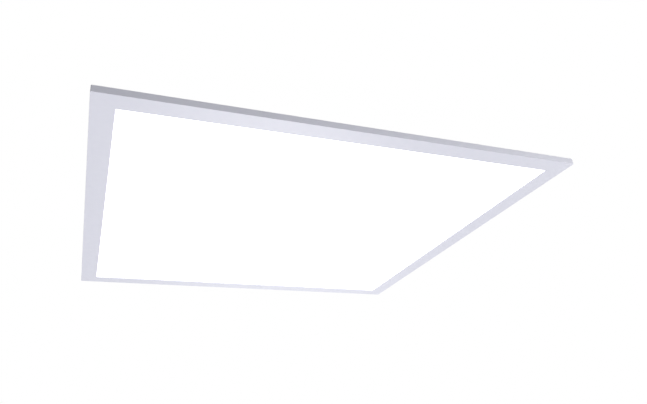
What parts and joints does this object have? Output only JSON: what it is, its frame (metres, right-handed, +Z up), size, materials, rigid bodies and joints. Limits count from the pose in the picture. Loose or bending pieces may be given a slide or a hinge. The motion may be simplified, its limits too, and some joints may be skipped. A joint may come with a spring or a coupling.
{
  "type": "recessed led panel light",
  "caption": "Square, slim, edge-lit ceiling light panel with a mitred white frame, opal diffuser and a hinged control gear box on its back.",
  "frame": {"origin": "centre of the square, in the plane of the frame's visible lower face", "axes": "+Z points up into the ceiling void and the light shines along -Z; the sides run along X and Y"},
  "size_m": [0.595, 0.595, 0.0435],
  "materials": {
    "frame_paint": "satin",
    "box_paint": "satin",
    "opal_diffuser": "matte",
    "clear_acrylic": "gloss",
    "white_film": "matte",
    "grey_foam": "matte",
    "circuit_board": "satin",
    "zinc_steel": "satin",
    "gear_plastic": "matte",
    "black_plastic": "matte",
    "white_pvc": "satin",
    "grey_rubber": "matte",
    "brown_insulation": "satin",
    "blue_insulation": "satin",
    "earth_insulation": "satin"
  },
  "bodies": {
    "root": {"frame_near": "frame_paint", "frame_right": "frame_paint", "frame_far": "frame_paint", "frame_left": "frame_paint", "diffuser": "opal_diffuser", "light_guide": "clear_acrylic", "reflector_sheet": "white_film", "foam_sheet": "grey_foam", "led_bar_near": "circuit_board", "led_bar_far": "circuit_board", "link_wire": "white_pvc", "back_plate": "frame_paint", "corner_bracket_near_left": "zinc_steel", "bracket_screw_near_left_1": "zinc_steel", "bracket_screw_near_left_2": "zinc_steel", "corner_bracket_near_right": "zinc_steel", "bracket_screw_near_right_1": "zinc_steel", "bracket_screw_near_right_2": "zinc_steel", "corner_bracket_far_right": "zinc_steel", "bracket_screw_far_right_1": "zinc_steel", "bracket_screw_far_right_2": "zinc_steel", "corner_bracket_far_left": "zinc_steel", "bracket_screw_far_left_1": "zinc_steel", "bracket_screw_far_left_2": "zinc_steel", "clip_base_right_near": "zinc_steel", "clip_base_right_far": "zinc_steel", "clip_base_left_near": "zinc_steel", "clip_base_left_far": "zinc_steel", "gear_tray": "box_paint", "hinge_pin": "zinc_steel", "inlet_grommet": "grey_rubber", "outlet_grommet": "grey_rubber", "led_driver": "gear_plastic", "driver_screw_1": "zinc_steel", "driver_screw_2": "zinc_steel", "selector_switch": "black_plastic", "terminal_block": "gear_plastic", "cable_clamp": "gear_plastic", "clamp_screw_1": "zinc_steel", "clamp_screw_2": "zinc_steel", "led_lead": "white_pvc", "lead_clip_1": "white_pvc", "lead_clip_2": "white_pvc", "entry_cap": "gear_plastic", "earth_screw": "zinc_steel", "wire_live": "brown_insulation", "wire_neutral": "blue_insulation", "wire_earth": "earth_insulation"},
    "lid": {"gear_lid": "box_paint", "lid_screw": "zinc_steel"},
    "clip_right_near": {"grid_clip_right_near": "zinc_steel"},
    "clip_right_far": {"grid_clip_right_far": "zinc_steel"},
    "clip_left_near": {"grid_clip_left_near": "zinc_steel"},
    "clip_left_far": {"grid_clip_left_far": "zinc_steel"},
    "button_live": {"release_button_live": "brown_insulation"},
    "button_neutral": {"release_button_neutral": "blue_insulation"},
    "button_earth": {"release_button_earth": "earth_insulation"},
    "power_slider": {"power_selector": "gear_plastic"},
    "colour_slider": {"colour_selector": "gear_plastic"}
  },
  "joints": [
    {"name": "lid_hinge", "type": "hinge", "parent": "root", "child": "lid", "pos_m": [0, 0.141, 0.0361], "axis": [-1, 0, 0], "range_deg": [0, 110]},
    {"name": "clip_right_near_hinge", "type": "hinge", "parent": "root", "child": "clip_right_near", "pos_m": [0.292, -0.17, 0.0095], "axis": [0, 1, 0], "range_deg": [0, 90]},
    {"name": "clip_right_far_hinge", "type": "hinge", "parent": "root", "child": "clip_right_far", "pos_m": [0.292, 0.17, 0.0095], "axis": [0, 1, 0], "range_deg": [0, 90]},
    {"name": "clip_left_near_hinge", "type": "hinge", "parent": "root", "child": "clip_left_near", "pos_m": [-0.292, -0.17, 0.0095], "axis": [0, -1, 0], "range_deg": [0, 90]},
    {"name": "clip_left_far_hinge", "type": "hinge", "parent": "root", "child": "clip_left_far", "pos_m": [-0.292, 0.17, 0.0095], "axis": [0, -1, 0], "range_deg": [0, 90]},
    {"name": "button_live_push", "type": "slide", "parent": "root", "child": "button_live", "axis": [0, 0, -1], "range_m": [0, 0.0015], "stiffness_N_per_m": 600},
    {"name": "button_neutral_push", "type": "slide", "parent": "root", "child": "button_neutral", "axis": [0, 0, -1], "range_m": [0, 0.0015], "stiffness_N_per_m": 600},
    {"name": "button_earth_push", "type": "slide", "parent": "root", "child": "button_earth", "axis": [0, 0, -1], "range_m": [0, 0.0015], "stiffness_N_per_m": 600},
    {"name": "power_slide", "type": "slide", "parent": "root", "child": "power_slider", "axis": [1, 0, 0], "range_m": [-0.0025, 0.0025]},
    {"name": "colour_slide", "type": "slide", "parent": "root", "child": "colour_slider", "axis": [1, 0, 0], "range_m": [-0.0025, 0.0025]}
  ]
}
